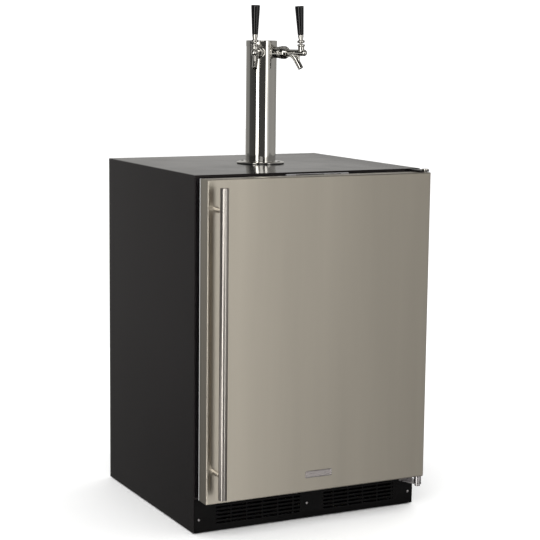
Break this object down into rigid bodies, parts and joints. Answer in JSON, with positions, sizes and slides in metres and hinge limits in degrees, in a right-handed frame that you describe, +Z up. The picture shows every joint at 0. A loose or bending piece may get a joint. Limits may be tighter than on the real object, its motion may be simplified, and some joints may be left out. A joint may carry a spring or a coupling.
{
  "type": "kegerator",
  "caption": "Freestanding keg refrigerator with a stainless side-hinged door, black cabinet, vented kick plate and a chrome tower with two beer faucets.",
  "frame": {"origin": "on the floor, under the middle of the bounding box", "axes": "+Z up, -Y towards the door's front, +X to the right of someone facing the door"},
  "size_m": [0.606, 0.6486, 1.2435],
  "materials": {
    "black_steel": "gloss",
    "brushed_stainless": "satin",
    "handle_steel": "satin",
    "plunger_steel": "satin",
    "polished_chrome": "polished",
    "badge_metal": "satin",
    "zinc_plate": "satin",
    "galvanised_steel": "matte",
    "condenser_metal": "satin",
    "black_plastic": "satin",
    "handle_black": "gloss",
    "display_black": "gloss",
    "grey_plastic": "satin",
    "white_plastic": "satin",
    "lamp_lens": "satin",
    "beer_tube": "satin",
    "rubber": "matte",
    "insulation": "matte",
    "compressor_paint": "gloss"
  },
  "bodies": {
    "cabinet": {"cabinet_wrapper": "black_steel", "front_frame": "black_steel", "rear_panel": "black_steel", "compressor_cover": "black_steel", "top_hinge_plate": "black_steel", "tower_column": "polished_chrome", "tower_cap": "polished_chrome", "tower_base_flange": "polished_chrome", "faucet_shank_left": "polished_chrome", "faucet_shank_right": "polished_chrome", "coupling_nut_left": "polished_chrome", "coupling_nut_right": "polished_chrome", "faucet_body_left": "polished_chrome", "faucet_body_right": "polished_chrome", "faucet_bonnet_left": "polished_chrome", "faucet_bonnet_right": "polished_chrome", "top_hinge_pin": "polished_chrome", "bottom_hinge_plate": "zinc_plate", "bottom_hinge_pin": "zinc_plate", "kick_screw_left": "zinc_plate", "kick_screw_centre": "zinc_plate", "kick_screw_right": "zinc_plate", "base_pan": "galvanised_steel", "keg_floor_plate": "galvanised_steel", "condenser": "condenser_metal", "condenser_fan_motor": "condenser_metal", "kick_grille": "black_plastic", "power_inlet": "black_plastic", "display_window": "display_black", "control_panel": "grey_plastic", "inner_liner": "white_plastic", "evaporator_cover": "white_plastic", "interior_light": "lamp_lens", "beer_line_left": "beer_tube", "beer_line_right": "beer_tube", "tower_gasket": "rubber", "insulation_foam": "insulation", "compressor": "compressor_paint"},
    "door": {"door_skin": "brushed_stainless", "door_foam": "insulation", "door_inner_panel": "white_plastic", "door_gasket": "rubber", "badge_plate": "badge_metal", "handle_bar": "handle_steel", "handle_standoff_lower": "handle_steel", "handle_standoff_upper": "handle_steel"},
    "tap_left": {"tap_lever_left": "polished_chrome", "tap_handle_left": "handle_black"},
    "tap_right": {"tap_lever_right": "polished_chrome", "tap_handle_right": "handle_black"},
    "plunger_left": {"faucet_stem_left": "plunger_steel"},
    "plunger_right": {"faucet_stem_right": "plunger_steel"},
    "colder_button": {"button_colder": "black_plastic"},
    "warmer_button": {"button_warmer": "black_plastic"},
    "condenser_fan_wheel": {"condenser_fan": "black_plastic"},
    "evaporator_fan_wheel": {"evaporator_fan": "black_plastic"},
    "levelling_foot_front_left": {"foot_front_left": "black_plastic"},
    "levelling_foot_front_right": {"foot_front_right": "black_plastic"},
    "levelling_foot_rear_left": {"foot_rear_left": "black_plastic"},
    "levelling_foot_rear_right": {"foot_rear_right": "black_plastic"}
  },
  "joints": [
    {"name": "door_swing", "type": "hinge", "parent": "cabinet", "child": "door", "pos_m": [0.2915, -0.26075, 0.466], "axis": [0, 0, 1], "range_deg": [0, 110]},
    {"name": "tap_left_pull", "type": "hinge", "parent": "cabinet", "child": "tap_left", "pos_m": [-0.06367, -0.03818, 1.1478], "axis": [0.8192, -0.5736, 0], "range_deg": [0, 24]},
    {"name": "plunger_left_slide", "type": "slide", "parent": "cabinet", "child": "plunger_left", "axis": [0.5736, 0.8192, 0], "range_m": [0, 0.0072]},
    {"name": "tap_right_pull", "type": "hinge", "parent": "cabinet", "child": "tap_right", "pos_m": [0.06367, -0.03818, 1.1478], "axis": [0.8192, 0.5736, 0], "range_deg": [0, 24]},
    {"name": "plunger_right_slide", "type": "slide", "parent": "cabinet", "child": "plunger_right", "axis": [-0.5736, 0.8192, 0], "range_m": [0, 0.0072]},
    {"name": "colder_press", "type": "slide", "parent": "cabinet", "child": "colder_button", "axis": [0, 1, 0], "range_m": [0, 0.001], "stiffness_N_per_m": 800},
    {"name": "warmer_press", "type": "slide", "parent": "cabinet", "child": "warmer_button", "axis": [0, 1, 0], "range_m": [0, 0.001], "stiffness_N_per_m": 800},
    {"name": "condenser_fan_spin", "type": "hinge", "parent": "cabinet", "child": "condenser_fan_wheel", "pos_m": [0.15, 0.26675, 0.11], "axis": [1, 0, 0], "continuous": true},
    {"name": "evaporator_fan_spin", "type": "hinge", "parent": "cabinet", "child": "evaporator_fan_wheel", "pos_m": [0, 0.25525, 0.705], "axis": [0, 1, 0], "continuous": true},
    {"name": "foot_front_left_screw", "type": "slide", "parent": "cabinet", "child": "levelling_foot_front_left", "axis": [0, 0, -1], "range_m": [0, 0.02]},
    {"name": "foot_front_right_screw", "type": "slide", "parent": "cabinet", "child": "levelling_foot_front_right", "axis": [0, 0, -1], "range_m": [0, 0.02]},
    {"name": "foot_rear_left_screw", "type": "slide", "parent": "cabinet", "child": "levelling_foot_rear_left", "axis": [0, 0, -1], "range_m": [0, 0.02]},
    {"name": "foot_rear_right_screw", "type": "slide", "parent": "cabinet", "child": "levelling_foot_rear_right", "axis": [0, 0, -1], "range_m": [0, 0.02]}
  ],
  "couplings": [
    {"joint": "plunger_left_slide", "follows": "tap_left_pull", "m_per_rad": 0.0165},
    {"joint": "plunger_right_slide", "follows": "tap_right_pull", "m_per_rad": 0.0165}
  ]
}
